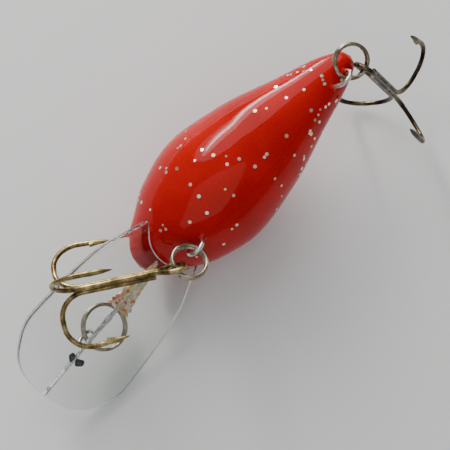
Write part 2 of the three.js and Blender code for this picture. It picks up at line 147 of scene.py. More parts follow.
WIRE_RADIUS = 0.43
WIRE_SIDES = 20
WIRE_END_LENGTH = 0.6
WIRE_END_SHARE = 0.55
WIRE_END_ANGLES = (0, 30, 55, 90)
EYE_CORNER_SLACK = 0.05
TIE_EYE_AHEAD = 22.2
TIE_EYE_RADIUS = 1.85
TIE_EYE_RISE = 2.7
TIE_FRONT_TAIL = 3.2
TIE_REAR_END = -4.6
TIE_CORNER = 0.8
HANGER_EYE_RADIUS = 1.8
HANGER_FOOT = 2.2
HANGER_BURIED = 3.2
HANGER_CORNER = 0.7
BELLY_HANGER_X = 42.8
BELLY_HANGER_RISE = 3.0
TAIL_HANGER_X = 1.6
TAIL_HANGER_Z = -2.9
TAIL_HANGER_RISE = 3.3
COLLAR_SIDES = 28
# section of a collar: (radius, height above the skin)
COLLAR_PROFILE = (
    (0.40, -0.5),
    (0.95, -0.5),
    (0.92, -0.05),
    (0.78, 0.05),
    (0.62, 0.16),
    (0.5, 0.3),
    (0.40, 0.34),
)

RING_WIRE_RADIUS = 0.36
RING_PITCH = 0.8
RING_TURNS = 1.93
RING_STEPS = 190
RING_END_TAPER = 0.3
RING_END_SHARE = 0.45
RING_FLATTENING = 0.06
HOOK_RING_RADIUS = 3.35
TIE_RING_RADIUS = 4.4

HOOK_WIRE_RADIUS = 0.52
HOOK_BUNDLE_RADIUS = 0.64
HOOK_EYE_RADIUS = 1.85
HOOK_EYE_THROAT = 1.1
HOOK_NECK = 3.4
HOOK_NECK_CORNER = 1.2
HOOK_THIRD_LOWER = 0.6
HOOK_DEPTH = 23.4
HOOK_GAPE = 12.1
HOOK_BEND_RADIUS = 4.9
HOOK_POINT_RISE = 12.3
HOOK_POINT_LEAN = 1.1
HOOK_TAPER = 3.4
HOOK_TIP_SHARE = 0.03
HOOK_NEEDLE_POWER = 0.85
BARB_BACK = 2.6
BARB_LENGTH = 1.9
BARB_RISE = 0.42
BARB_CUT_LENGTH = 1.1
BARB_CUT_DEPTH = 0.14
# how squarely the wire's side faces the shank: (where a feature starts, over what range)
BARB_FACING = (0.55, 0.4)
BARB_CUT_FACING = (0.45, 0.5)
FORGED_HEIGHT = 5
FORGED_FADE = 3
FORGED_OUTSIDE = 2
FORGED_FLATTENING = 0.13

BRAZE_SIDES = 24
BRAZE_STEPS = 60
BRAZE_CORE_RADIUS = 0.34
BRAZE_VALLEY_DEPTH = 0.36
BRAZE_TOP_GAP = 0.1
BRAZE_BOTTOM_GAP = 0.3
BRAZE_LOBES = (0.9, 1.05)
BRAZE_END_FADE = 9
BRAZE_END_SHARE = 0.35

RIGS = {
    "belly": {
        "ring_centre": (45.87, 0.06, -11.48),
        "ring_axis": (-0.565, 0.557, -0.609),
        "hook_eye": (48.5, 1.48, -12.62),
        "shank": (0.826, 0.528, 0.199),
        "prong": (-0.345, 0.193, 0.918),
    },
    "tail": {
        "ring_centre": (-2.6, 1.33, -4.08),
        "ring_axis": (-0.041, 0.157, -0.987),
        "hook_eye": (-3.76, -1.73, -4.52),
        "shank": (-0.069, -0.801, 0.595),
        "prong": (0.704, 0.384, 0.597),
    },
}
TIE_RING_CENTRE = (67.89, -2.01, -0.57)
TIE_RING_AXIS = (-0.393, 0.177, -0.902)

FLAKE_COUNT = 165
FLAKE_SEED = 7
FLAKE_SILVER_SHARE = 0.7
FLAKE_GOLD_SHARE = 0.3
FLAKE_SPAN = (0.5, 50)
FLAKE_ANGLE_LIMIT = 85
FLAKE_RADIUS = (0.24, 0.42)
FLAKE_TILT = 0.055
FLAKE_DENSITY = 0.55
FLAKE_TAIL_GAIN = 0.75
FLAKE_TAIL_REACH = 24
FLAKE_TIP_GAIN = 0.18
FLAKE_TIP_REACH = 16
FLAKE_SIDES = 6
# layers of a flake: (height above the coat, share of the flake's radius)
FLAKE_LAYERS = ((-0.05, 1.0), (0.012, 1.0), (0.02, 0.9))

# ---------------------------------------------------------------- frames and small helpers

LURE_TO_TABLE = (
    Matrix.Translation(Vector(TABLE_SHIFT) * MM)
    @ Matrix.Rotation(math.radians(NOSE_DOWN_DEG), 4, "Y")
    @ Matrix.Rotation(math.radians(ROLL_DEG), 4, "X")
    @ Matrix.Scale(MM, 4)
)


def smooth_step(t):
    t = min(1.0, max(0.0, t))
    return t * t * (3 - 2 * t)


def rising_share(low, t):
    """Share that rises from low to 1 as t goes from 0 to 1."""
    return low + (1 - low) * t


def table_value(table, column, x):
    """Smooth curve through the rows of a table, without overshoot, for one column."""
    last = len(table) - 1
    if x <= table[0][0]:
        return table[0][column]
    if x >= table[last][0]:
        return table[last][column]
    slopes = [
        (table[i + 1][column] - table[i][column]) / (table[i + 1][0] - table[i][0])
        for i in range(last)
    ]

    def tangent(i):
        if i == 0:
            return slopes[0]
        if i == last:
            return slopes[-1]
        if slopes[i - 1] * slopes[i] <= 0:
            return 0
        return 2 * slopes[i - 1] * slopes[i] / (slopes[i - 1] + slopes[i])

    i = 0
    while x > table[i + 1][0]:
        i += 1
    width = table[i + 1][0] - table[i][0]
    t = (x - table[i][0]) / width
    return (
        table[i][column] * (1 + 2 * t) * (1 - t) ** 2
        + table[i + 1][column] * t * t * (3 - 2 * t)
        + tangent(i) * t * (1 - t) ** 2 * width
        + tangent(i + 1) * t * t * (t - 1) * width
    )


def frame_matrix(origin, z_direction, x_direction):
    """Local frame from an origin, its Z axis and a direction near its X axis."""
    z = Vector(z_direction).normalized()
    x = Vector(x_direction)
    x = (x - z * x.dot(z)).normalized()
    y = z.cross(x)
    basis = Matrix((x, y, z)).transposed().to_4x4()
    return Matrix.Translation(Vector(origin)) @ basis


def add_piece(name, points, faces, material, body, replaces=(), sharp_deg=40, local=None):
    """Mesh piece from points in the lure's frame (or a local frame in it), in millimetres."""
    place = LURE_TO_TABLE if local is None else LURE_TO_TABLE @ local
    mesh = bpy.data.meshes.new(name)
    mesh.from_pydata([place @ Vector(p) for p in points], [], faces)
    work = bmesh.new()
    work.from_mesh(mesh)
    bmesh.ops.remove_doubles(work, verts=work.verts, dist=MERGE_DISTANCE)
    bmesh.ops.recalc_face_normals(work, faces=work.faces)
    if work.calc_volume(signed=True) < 0:
        bmesh.ops.reverse_faces(work, faces=work.faces)
    work.to_mesh(mesh)
    work.free()
    mesh.polygons.foreach_set("use_smooth", [True] * len(mesh.polygons))
    mesh.set_sharp_from_angle(angle=math.radians(sharp_deg))
    mesh.materials.append(material)
    piece = bpy.data.objects.new(name, mesh)
    bpy.context.scene.collection.objects.link(piece)
    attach(piece, body)
    if replaces:
        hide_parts(*replaces)
    return piece


def ring_quads(rows, around, start=0, closed=False):
    """Quads between successive rings of points; a closed stack joins its last ring to its first."""
    quads = []
    for row in range(rows if closed else rows - 1):
        near = start + row * around
        far = start + (row + 1) % rows * around
        for k in range(around):
            following = (k + 1) % around
            quads.append((near + k, near + following, far + following, far + k))
    return quads


def end_caps(rows, around, start=0):
    """The two flat faces that close a stack of rings."""
    top = start + (rows - 1) * around
    return [
        tuple(start + k for k in reversed(range(around))),
        tuple(top + k for k in range(around)),
    ]


def rounded_path(rows, step_deg=7, spacing=1.2):
    """Path through points with rounded corners; each row is (point, corner radius)."""
    path = [rows[0][0].copy()]

    def run_to(target):
        start = path[-1].copy()
        count = max(1, int((target - start).length / spacing))
        for k in range(1, count + 1):
            path.append(start.lerp(target, k / count))

    for i in range(1, len(rows) - 1):
        corner, radius = rows[i]
        back = (rows[i - 1][0] - corner).normalized()
        ahead = (rows[i + 1][0] - corner).normalized()
        turn = math.pi - back.angle(ahead)
        reach = radius * math.tan(turn / 2)
        start = corner + back * reach
        centre = corner + (back + ahead).normalized() * (radius / math.cos(turn / 2))
        axis = back.cross(ahead).normalized()
        arm = start - centre
        if (start - path[-1]).length > 0.05:
            run_to(start)
        steps = max(2, round(math.degrees(turn) / step_deg))
        for k in range(1, steps + 1):
            path.append(centre + Quaternion(axis, -turn * k / steps) @ arm)
    run_to(rows[-1][0])
    return path


def sweep(path, sides, offset):
    """Closed tube along a path; its radius is offset(distance, total length, point, direction)."""
    count = len(path)
    reach = [0.0]
    for i in range(1, count):
        reach.append(reach[-1] + (path[i] - path[i - 1]).length)
    tangents = [
        (path[min(i + 1, count - 1)] - path[max(i - 1, 0)]).normalized() for i in range(count)
    ]
    seed = Vector((0, 1, 0)) if abs(tangents[0].y) < 0.9 else Vector((1, 0, 0))
    side = seed.cross(tangents[0]).normalized()
    points = []
    for i in range(count):
        if i > 0:
            side = tangents[i - 1].rotation_difference(tangents[i]) @ side
            side = (side - tangents[i] * side.dot(tangents[i])).normalized()
        up = tangents[i].cross(side)
        for k in range(sides):
            angle = 2 * math.pi * k / sides
            direction = side * math.cos(angle) + up * math.sin(angle)
            size = offset(reach[i], reach[-1], path[i], direction)
            points.append(path[i] + direction * size)
    faces = ring_quads(count, sides)
    for i, tip in ((0, path[0]), (count - 1, path[-1])):
        middle = len(points)
        points.append(tip)
        for k in range(sides):
            faces.append((middle, i * sides + k, i * sides + (k + 1) % sides))
    return points, faces


def with_end_rings(path, radius):
    """The path with close extra points at both ends, so that a wire's end can be rounded over."""
    first = (path[1] - path[0]).normalized()
    last = (path[-2] - path[-1]).normalized()
    depth = radius * WIRE_END_LENGTH
    steps = [(1 - math.cos(math.radians(a))) * depth for a in WIRE_END_ANGLES]
    start = [path[0] + first * s for s in steps]
    end = [path[-1] + last * s for s in reversed(steps)]
    return start + path[1:-1] + end


def blunt_wire(radius):
    """Round wire whose cut ends are rounded over."""
    def size(distance, total, point, direction):
        near = min(distance, total - distance) / (radius * WIRE_END_LENGTH)
        return radius * rising_share(WIRE_END_SHARE, math.sqrt(min(1.0, near)))
    return size


# ---------------------------------------------------------------- materials


def new_material(name):
    material = bpy.data.materials.new(name)
    material.use_nodes = True
    tree = material.node_tree
    shader = tree.nodes["Principled BSDF"]
    return material, tree, shader


def add_node(tree, kind, **settings):
    node = tree.nodes.new(kind)
    for key, value in settings.items():
        if key in node.inputs:
            node.inputs[key].default_value = value
        else:
            setattr(node, key, value)
    return node


def object_coordinates(tree):
    return add_node(tree, "ShaderNodeTexCoord").outputs["Object"]


def noise(tree, scale, detail=3.0, rough=0.5):
    node = add_node(tree, "ShaderNodeTexNoise", Scale=scale, Detail=detail, Roughness=rough)
    tree.links.new(object_coordinates(tree), node.inputs["Vector"])
    return node.outputs["Fac"]


def ramp(tree, source, stops):
    node = add_node(tree, "ShaderNodeValToRGB")
    elements = node.color_ramp.elements
    while len(elements) < len(stops):
        elements.new(0.5)
    for element, (place, colour) in zip(elements, stops):
        element.position = place
        element.color = (*colour, 1)
    tree.links.new(source, node.inputs["Fac"])
    return node.outputs["Color"]


def spread(tree, source, low, high, source_low=0.3, source_high=0.7):
    node = add_node(tree, "ShaderNodeMapRange")
    set_sockets(node, {
        "From Min": source_low,
        "From Max": source_high,
        "To Min": low,
        "To Max": high,
    })
    tree.links.new(source, node.inputs["Value"])
    return node.outputs["Result"]


def set_sockets(node, values):
    """Set plain values on a node's own sockets."""
    for socket, value in values.items():
        node.inputs[socket].default_value = value


def add_surface(tree, shader, colour, roughness):
    """Link a colour and a roughness to a shader."""
    tree.links.new(colour, shader.inputs["Base Color"])
    tree.links.new(roughness, shader.inputs["Roughness"])


def add_bump(tree, shader, source, distance, strength=1.0):
    node = add_node(tree, "ShaderNodeBump", Distance=distance, Strength=strength)
    tree.links.new(source, node.inputs["Height"])
    tree.links.new(node.outputs["Normal"], shader.inputs["Normal"])


def lacquer_material():
    """Red lacquer under a soft clear coat, with fine orange specks painted into its colour as
    micro-sparkle glints.
    """
    material, tree, shader = new_material("red_lacquer")
    cloud = noise(tree, 90, 2.0)
    colour = ramp(tree, cloud, [
        (0.3, (0.40, 0.0006, 0.0005)),
        (0.5, (0.47, 0.0010, 0.0007)),
        (0.72, (0.55, 0.0018, 0.0010)),
    ])
    # Fine orange specks added to the red: painted micro-sparkle, tiny glints painted into the
    # colour.
    speck = add_node(tree, "ShaderNodeTexVoronoi", Scale=2600.0)
    tree.links.new(object_coordinates(tree), speck.inputs["Vector"])
    painted_sparkle = ramp(tree, speck.outputs["Distance"], [
        (0.0, (1.0, 0.10, 0.02)),
        (0.16, (1.0, 0.10, 0.02)),
        (0.3, (0.0, 0.0, 0.0)),
    ])
    mix = add_node(tree, "ShaderNodeMixRGB", blend_type="ADD")
    mix.inputs["Fac"].default_value = 0.10
    tree.links.new(colour, mix.inputs["Color1"])
    tree.links.new(painted_sparkle, mix.inputs["Color2"])
    add_surface(tree, shader, mix.outputs["Color"], spread(tree, noise(tree, 700), 0.24, 0.36))
    set_sockets(shader, {
        "Coat Weight": 0.75,
        "Coat Roughness": 0.05,
        "Coat IOR": 1.36,
        "Specular IOR Level": 0.0,
    })
    add_bump(tree, shader, noise(tree, 260, 1.0), 0.00002, 0.35)
    return material


def shell_material():
    """Red moulded plastic of the body shells under the lacquer."""
    material, tree, shader = new_material("moulded_shell")
    colour = ramp(tree, noise(tree, 160), [
        (0.35, (0.60, 0.030, 0.012)),
        (0.65, (0.70, 0.045, 0.016)),
    ])
    add_surface(tree, shader, colour, spread(tree, noise(tree, 500), 0.32, 0.5))
    add_bump(tree, shader, noise(tree, 900), 0.00002, 0.4)
    return material


def flake_material(name, dark, light):
    """Metal foil under clear lacquer."""
    material, tree, shader = new_material(name)
    colour = ramp(tree, noise(tree, 420, 1.0), [(0.35, dark), (0.65, light)])
    add_surface(tree, shader, colour, spread(tree, noise(tree, 1500), 0.18, 0.34))
    set_sockets(shader, {"Metallic": 1.0, "Coat Weight": 1.0, "Coat Roughness": 0.04})
    add_bump(tree, shader, noise(tree, 2600, 2.0), 0.00001, 0.5)
    return material


def clear_material():
    """Clear plastic of the bill, faintly tinted, with fine scuffs along its length."""
    material, tree, shader = new_material("clear_plastic")
    tint = ramp(tree, noise(tree, 60, 2.0), [
        (0.3, (0.88, 0.92, 0.90)),
        (0.7, (0.95, 0.97, 0.96)),
    ])
    set_sockets(shader, {"Transmission Weight": 1.0, "IOR": 1.49})
    scuff = add_node(tree, "ShaderNodeTexNoise", Scale=220.0, Detail=6.0, Roughness=0.7)
    stretch = add_node(tree, "ShaderNodeMapping")
    stretch.inputs["Scale"].default_value = (1.0, 7.0, 3.0)
    tree.links.new(object_coordinates(tree), stretch.inputs["Vector"])
    tree.links.new(stretch.outputs["Vector"], scuff.inputs["Vector"])
    wear = scuff.outputs["Fac"]
    add_surface(tree, shader, tint, spread(tree, wear, 0.015, 0.14, 0.45, 0.8))
    add_bump(tree, shader, wear, 0.00001, 0.25)
    return material


def weld_and_painted_highlight_material():
    """Cloudy white plastic of the weld bead; the same white on the rim line and the lower chin lip
    is a painted highlight.
    """
    material, tree, shader = new_material("white_weld_and_painted_highlight")
    colour = ramp(tree, noise(tree, 1300, 2.0), [
        (0.38, (0.62, 0.62, 0.60)),
        (0.6, (0.96, 0.96, 0.94)),
    ])
    add_surface(tree, shader, colour, spread(tree, noise(tree, 2400), 0.12, 0.45))
    set_sockets(shader, {"Transmission Weight": 0.25, "Coat Weight": 0.6})
    add_bump(tree, shader, noise(tree, 1900, 3.0), 0.00006, 0.8)
    return material


def cement_with_painted_glints_material():
    """Crazed cement with golden facets; its near-white cells are painted glints and its red cells a
    painted reflection of the red body.
    """
    material, tree, shader = new_material("crazed_cement_with_painted_glints")
    cells = add_node(tree, "ShaderNodeTexVoronoi", Scale=1700.0)
    tree.links.new(object_coordinates(tree), cells.inputs["Vector"])
    split = add_node(tree, "ShaderNodeSeparateColor")
    tree.links.new(cells.outputs["Color"], split.inputs["Color"])
    # The near-white stops are painted glints; the red stop is a painted reflection of the red body.
    colour = ramp(tree, split.outputs["Red"], [
        (0.0, (1.0, 0.95, 0.78)),
        (0.25, (1.0, 0.80, 0.40)),
        (0.55, (0.84, 0.56, 0.20)),
        (0.80, (0.78, 0.13, 0.05)),
        (0.92, (1.0, 0.96, 0.86)),
    ])
    add_surface(tree, shader, colour, spread(tree, split.outputs["Green"], 0.06, 0.4, 0, 1))
    set_sockets(shader, {"Metallic": 0.55, "Coat Weight": 0.5})
    add_bump(tree, shader, split.outputs["Blue"], 0.0002, 1.0)
    return material


def metal_material(name, dark, middle, light, rough_low, rough_high, grain=0.5):
    """Plated or bare wire: cloudy tarnish, a little drawing grain, uneven polish."""
    material, tree, shader = new_material(name)
    tarnish = noise(tree, 380, 4.0, 0.62)
    colour = ramp(tree, tarnish, [(0.32, dark), (0.48, middle), (0.68, light)])
    add_surface(tree, shader, colour, spread(tree, noise(tree, 1200, 3.0), rough_low, rough_high))
    set_sockets(shader, {"Metallic": 1.0})
    add_bump(tree, shader, noise(tree, 3200, 2.0), 0.00001, grain)
    return material


def peg_material():
    """Smoky dark cement."""
    material, tree, shader = new_material("smoky_peg")
    colour = ramp(tree, noise(tree, 900), [
        (0.35, (0.015, 0.020, 0.018)),
        (0.7, (0.085, 0.10, 0.09)),
    ])
    add_surface(tree, shader, colour, spread(tree, noise(tree, 1500), 0.1, 0.3))
    return material


LACQUER = lacquer_material()
SHELL = shell_material()
SILVER_FLAKE = flake_material("silver_flake", (0.60, 0.52, 0.45), (0.92, 0.87, 0.80))
GOLD_FLAKE = flake_material("gold_flake", (0.56, 0.36, 0.15), (0.88, 0.68, 0.37))
CLEAR = clear_material()
WHITE_WELD_AND_PAINTED_HIGHLIGHT = weld_and_painted_highlight_material()
CEMENT_WITH_PAINTED_GLINTS = cement_with_painted_glints_material()
PEG = peg_material()
STAINLESS = metal_material(
    "stainless_wire", (0.40, 0.37, 0.32), (0.62, 0.60, 0.56), (0.80, 0.79, 0.76), 0.16, 0.34)
NICKEL = metal_material(
    "nickel_ring", (0.10, 0.078, 0.045), (0.28, 0.235, 0.16), (0.55, 0.49, 0.39), 0.12, 0.30)
BRONZE = metal_material(
    "golden_bronze", (0.045, 0.030, 0.010), (0.19, 0.135, 0.052), (0.50, 0.385, 0.18), 0.16, 0.36)
DARK_BRONZE = metal_material(
    "dark_bronze", (0.014, 0.011, 0.007), (0.045, 0.034, 0.020), (0.20, 0.155, 0.09), 0.16, 0.36)
BRAZE = metal_material(
    "brazing", (0.03, 0.02, 0.008), (0.10, 0.07, 0.03), (0.26, 0.18, 0.08), 0.3, 0.55, 0.9)
DARK_BRAZE = metal_material(
    "dark_brazing", (0.012, 0.009, 0.006), (0.035, 0.026, 0.016), (0.10, 0.075, 0.045),
    0.32, 0.58, 0.9)
WEIGHT = metal_material(
    "plain_weight", (0.20, 0.20, 0.21), (0.36, 0.36, 0.37), (0.5, 0.5, 0.51), 0.35, 0.55)
BALL = metal_material(
    "polished_ball", (0.55, 0.55, 0.56), (0.68, 0.68, 0.69), (0.78, 0.78, 0.79), 0.06, 0.14, 0.2)

# ---------------------------------------------------------------- body


def skin_point(x, angle, side, proud):
    """Point on the body's skin at a station and an angle from belly (-90) to back (+90)."""
    half_width = max(0.0, table_value(BODY_PROFILE, 1, x) + proud)
    low = table_value(BODY_PROFILE, 2, x) - proud
    high = table_value(BODY_PROFILE, 3, x) + proud
    y = half_width * math.cos(angle)
    z = (low + high) / 2 + (high - low) / 2 * math.sin(angle)
    return Vector((x, side * max(LACQUER_SEAM, y), z))


def body_stations(count):
    """Stations along the body, closer together at its two ends."""
    rear = BODY_PROFILE[0][0]
    nose = BODY_PROFILE[-1][0]
    stations = []
    for i in range(count + 1):
        even = i / count
        rounded = (1 - math.cos(math.pi * even)) / 2
        share = COAT_EVEN_SHARE * even + COAT_ROUNDED_SHARE * rounded
        stations.append(rear + (nose - rear) * share)
    return stations


def lacquer_coat(side, name):
    """One half of the lacquered skin: a thin closed coat from the belly seam to the back seam."""
    stations = body_stations(COAT_STATIONS)
    columns = COAT_AROUND + 1
    points = []
    for proud in (LACQUER_PROUD, -LACQUER_DEEP):
        for i, x in enumerate(stations):
            for k in range(columns):
                angle = math.radians(-90 + 180 * k / COAT_AROUND)
                points.append(skin_point(x, angle, side, proud))
    layer = len(stations) * columns
    faces = []
    for i in range(len(stations) - 1):
        for k in range(COAT_AROUND):
            a = i * columns + k
            quad = (a, a + 1, a + 1 + columns, a + columns)
            faces.append(quad)
            faces.append(tuple(layer + v for v in reversed(quad)))
        for k in (0, COAT_AROUND):
            a = i * columns + k
            faces.append((a, a + columns, layer + a + columns, layer + a))
    for i in (0, len(stations) - 1):
        for k in range(COAT_AROUND):
            a = i * columns + k
            faces.append((a, a + 1, layer + a + 1, layer + a))
    return add_piece(name, points, faces, LACQUER, "lure_body")


def skin_normal(x, angle, side):
    """Outward direction of the body's skin, from two nearby points."""
    here = skin_point(x, angle, side, LACQUER_PROUD)
    small_step, small_turn = 0.05, 0.01
    along = skin_point(x + small_step, angle, side, LACQUER_PROUD) - here
    across = skin_point(x, angle + small_turn, side, LACQUER_PROUD) - here
    return along.cross(across).normalized() * side


def flake_density(x):
    """Chance that a flake drawn here is kept: higher where the body is wide and at the tail."""
    girth = table_value(BODY_PROFILE, 1, x) / BODY_HALF_WIDTH
    tail = FLAKE_TAIL_GAIN * smooth_step((FLAKE_TAIL_REACH - x) / FLAKE_TAIL_REACH)
    tip = FLAKE_TIP_GAIN * smooth_step((FLAKE_TIP_REACH - x) / FLAKE_TIP_REACH)
    return girth * (FLAKE_DENSITY + tail) + tip


def flake_field(name, material, count, draws):
    """Small hexagonal foil flakes lying in the lacquer, a few tilted, denser towards the tail."""
    points, faces = [], []
    placed = 0
    while placed < count:
        x = draws.uniform(*FLAKE_SPAN)
        angle = math.radians(draws.uniform(-FLAKE_ANGLE_LIMIT, FLAKE_ANGLE_LIMIT))
        side = draws.choice((-1, 1))
        if draws.random() > flake_density(x):
            continue
        tilt = Vector((draws.gauss(0, 1), draws.gauss(0, 1), draws.gauss(0, 1))) * FLAKE_TILT
        normal = (skin_normal(x, angle, side) + tilt).normalized()
        radius = draws.uniform(*FLAKE_RADIUS)
        turn = draws.uniform(0, math.tau)
        here = frame_matrix(skin_point(x, angle, side, LACQUER_PROUD), normal, (1, 0.3, 0.2))
        start = len(points)
        for rise, share in FLAKE_LAYERS:
            for k in range(FLAKE_SIDES):
                a = turn + math.tau * k / FLAKE_SIDES
                spot = (radius * share * math.cos(a), radius * share * math.sin(a), rise)
                points.append(here @ Vector(spot))
        faces += ring_quads(len(FLAKE_LAYERS), FLAKE_SIDES, start)
        faces += end_caps(len(FLAKE_LAYERS), FLAKE_SIDES, start)
        placed += 1
    return add_piece(name, points, faces, material, "lure_body", sharp_deg=20)


lacquer_coat(1, "lacquer_coat_left")
lacquer_coat(-1, "lacquer_coat_right")
draws = random.Random(FLAKE_SEED)
silver_count = int(FLAKE_COUNT * FLAKE_SILVER_SHARE)
gold_count = int(FLAKE_COUNT * FLAKE_GOLD_SHARE)
flake_field("glitter_flakes_silver", SILVER_FLAKE, silver_count, draws)
flake_field("glitter_flakes_gold", GOLD_FLAKE, gold_count, draws)

# ---------------------------------------------------------------- bill

BILL_SLOPE = math.radians(BILL_DROP_DEG)


def bill_point(ahead, side, rise):
    """Point of the sloping bill: distance ahead of the chin, sideways, and above its lower face."""
    return Vector((
        BILL_BASE_X + ahead * math.cos(BILL_SLOPE) + rise * math.sin(BILL_SLOPE),
        side,
        BILL_BASE_Z - ahead * math.sin(BILL_SLOPE) + rise * math.cos(BILL_SLOPE),
    ))


def bill_rim(steps=BILL_RIM_STEPS):
    """Half outline of the bill from the tongue to the tip: (distance ahead, half width)."""
    rows = [(1 - math.sqrt(1 - ahead / BILL_LENGTH), width) for ahead, width in BILL_OUTLINE]
    rim = [(-BILL_TONGUE_LENGTH, BILL_SEAM_HALF), (-BILL_TONGUE_LENGTH, BILL_TONGUE_WIDTH)]
    for i in range(steps + 1):
        share = i / steps
        ahead = BILL_LENGTH * (1 - (1 - share) ** 2)
        rim.append((ahead, max(BILL_SEAM_HALF, table_value(rows, 1, share))))
    return rim


def bill_plate(side, name, node):
    """Half of the clear blade, rim rounded, cut straight along the weld."""
    rim = bill_rim()
    count = len(rim)
    levels = []
    for k in range(BILL_EDGE_STEPS + 1):
        a = math.radians(90 * k / BILL_EDGE_STEPS)
        levels.append((BILL_EDGE_RADIUS * (1 - math.sin(a)), BILL_EDGE_RADIUS * (1 - math.cos(a))))
    levels += [(inset, BILL_THICKNESS - rise) for inset, rise in reversed(levels)]
    points = []
    for inset, rise in levels:
        for i, (ahead, width) in enumerate(rim):
            if i in (0, count - 1):
                inward = inset if i == 0 else -inset
                points.append(bill_point(ahead + inward, side * BILL_SEAM_HALF, rise))
                continue
            run = (rim[i + 1][0] - rim[i - 1][0], rim[i + 1][1] - rim[i - 1][1])
            size = math.hypot(*run) or 1.0
            half_width = max(BILL_SEAM_HALF, width - run[0] / size * inset)
            points.append(bill_point(ahead + run[1] / size * inset, side * half_width, rise))
    faces = ring_quads(len(levels), count) + end_caps(len(levels), count)
    return add_piece(name, points, faces, CLEAR, "lure_body", (node,), sharp_deg=28)


def weld_bead(draws):
    """Uneven bead where the two halves of the blade are welded, from the chin to the tip."""
    points = []
    start = WELD_START
    end = BILL_LENGTH - WELD_END_GAP
    narrowest, widest = WELD_HALF_WIDTH
    middle = BILL_THICKNESS / 2
    width = WELD_FIRST_HALF_WIDTH
    for i in range(WELD_STEPS + 1):
        ahead = start + (end - start) * i / WELD_STEPS
        width += draws.uniform(-WELD_WANDER, WELD_WANDER)
        width = min(widest, max(narrowest, width))
        fade = smooth_step((ahead - start) / WELD_FADE_IN)
        fade *= smooth_step((end - ahead) / WELD_FADE_OUT)
        half = max(WELD_LEAST_HALF_WIDTH, width * fade)
        proud = draws.uniform(0.0, WELD_PROUD) * fade
        low = WELD_INSET - proud
        high = BILL_THICKNESS - WELD_INSET + proud
        ring = (
            (-half, low + WELD_SHOULDER),
            (0, low),
            (half, low + WELD_SHOULDER),
            (half * WELD_WAIST, middle),
            (half, high - WELD_SHOULDER),
            (0, high),
            (-half, high - WELD_SHOULDER),
            (-half * WELD_WAIST, middle),
        )
        points += [bill_point(ahead, side, rise) for side, rise in ring]
    rows = WELD_STEPS + 1
    faces = ring_quads(rows, len(ring)) + end_caps(rows, len(ring))
    return add_piece("bill_weld_bead", points, faces, WHITE_WELD_AND_PAINTED_HIGHLIGHT, "lure_body", sharp_deg=60)


def cement_wedge(draws):
    """Crazed patch in the weld near the chin, widening forwards; its colour holds painted glints
    and a painted red reflection.
    """
    outline = []
    near, far = WEDGE_SPAN
    for side in (1, -1):
        row = []
        for i in range(WEDGE_STEPS + 1):
            t = i / WEDGE_STEPS
            ahead = near + (far - near) * t
            half = WEDGE_NEAR_HALF_WIDTH + WEDGE_WIDENING * t ** WEDGE_FLARE
            half *= 1 + draws.uniform(-WEDGE_RAGGED_WIDTH, WEDGE_RAGGED_WIDTH)
            ahead += draws.uniform(-WEDGE_RAGGED_AHEAD, WEDGE_RAGGED_AHEAD)
            row.append((ahead, side * half))
        outline += row if side == 1 else list(reversed(row))
    count = len(outline)
    points = []
    for share, rise in WEDGE_LAYERS:
        for ahead, side in outline:
            lift = draws.uniform(-WEDGE_RAGGED_HEIGHT, WEDGE_RAGGED_HEIGHT)
            points.append(bill_point(ahead, side * share, rise + lift))
    faces = ring_quads(len(WEDGE_LAYERS), count)
    top = (len(WEDGE_LAYERS) - 1) * count
    for base, flip in ((0, True), (top, False)):
        for i in range(WEDGE_STEPS):
            quad = (base + i, base + i + 1, base + count - 2 - i, base + count - 1 - i)
            faces.append(tuple(reversed(quad)) if flip else quad)
    name = "bill_cement_wedge"
    return add_piece(name, points, faces, CEMENT_WITH_PAINTED_GLINTS, "lure_body", sharp_deg=25)


def blob(centre, radii, sides=20, rings=12):
    """Closed egg shape: points and faces around a centre."""
    points, faces = [Vector((0, 0, -1))], []
    for j in range(1, rings):
        a = math.pi * j / rings
        for k in range(sides):
            b = math.tau * k / sides
            round_spot = (math.sin(a) * math.cos(b), math.sin(a) * math.sin(b), -math.cos(a))
            points.append(Vector(round_spot))
    points.append(Vector((0, 0, 1)))
    base = 1 + (rings - 2) * sides
    for k in range(sides):
        faces.append((0, 1 + (k + 1) % sides, 1 + k))
        faces.append((len(points) - 1, base + k, base + (k + 1) % sides))
    faces += ring_quads(rings - 1, sides, 1)
    return [p * Vector(radii) + Vector(centre) for p in points], faces


def bill_peg():
    """Smoky bow tie in the weld: two dark lobes, one on each side, joined by a narrow waist."""
    points, faces = [], []
    for side in (-1, 1):
        centre = (PEG_AHEAD, side * PEG_LOBE_SIDE - PEG_SHIFT, PEG_HEIGHT)
        lobe, lobe_faces = blob(centre, PEG_LOBE_RADII)
        start = len(points)
        for p in lobe:
            wobble = PEG_WOBBLE * math.sin(PEG_WOBBLE_RATE * p.y + side)
            points.append(bill_point(p.x + wobble, p.y, p.z))
        faces += [tuple(start + v for v in face) for face in lobe_faces]
    return add_piece("bill_locating_peg", points, faces, PEG, "lure_body")


def inside_body(point):
    """Whether a point is inside the body's elliptical section at its station."""
    low = table_value(BODY_PROFILE, 2, point.x)
    high = table_value(BODY_PROFILE, 3, point.x)
    half_width = table_value(BODY_PROFILE, 1, point.x)
    if half_width < 0.01:
        return False
    middle = (low + high) / 2
    return (point.y / half_width) ** 2 + ((point.z - middle) / (high - middle)) ** 2 < 1


def chin_edge(rise, side):
    """Distance ahead at which a line in the bill, at this side and rise, leaves the body."""
    ahead, furthest, step = -4.0, 10, 0.05
    while inside_body(bill_point(ahead, side, rise)) and ahead < furthest:
        ahead += step
    return ahead


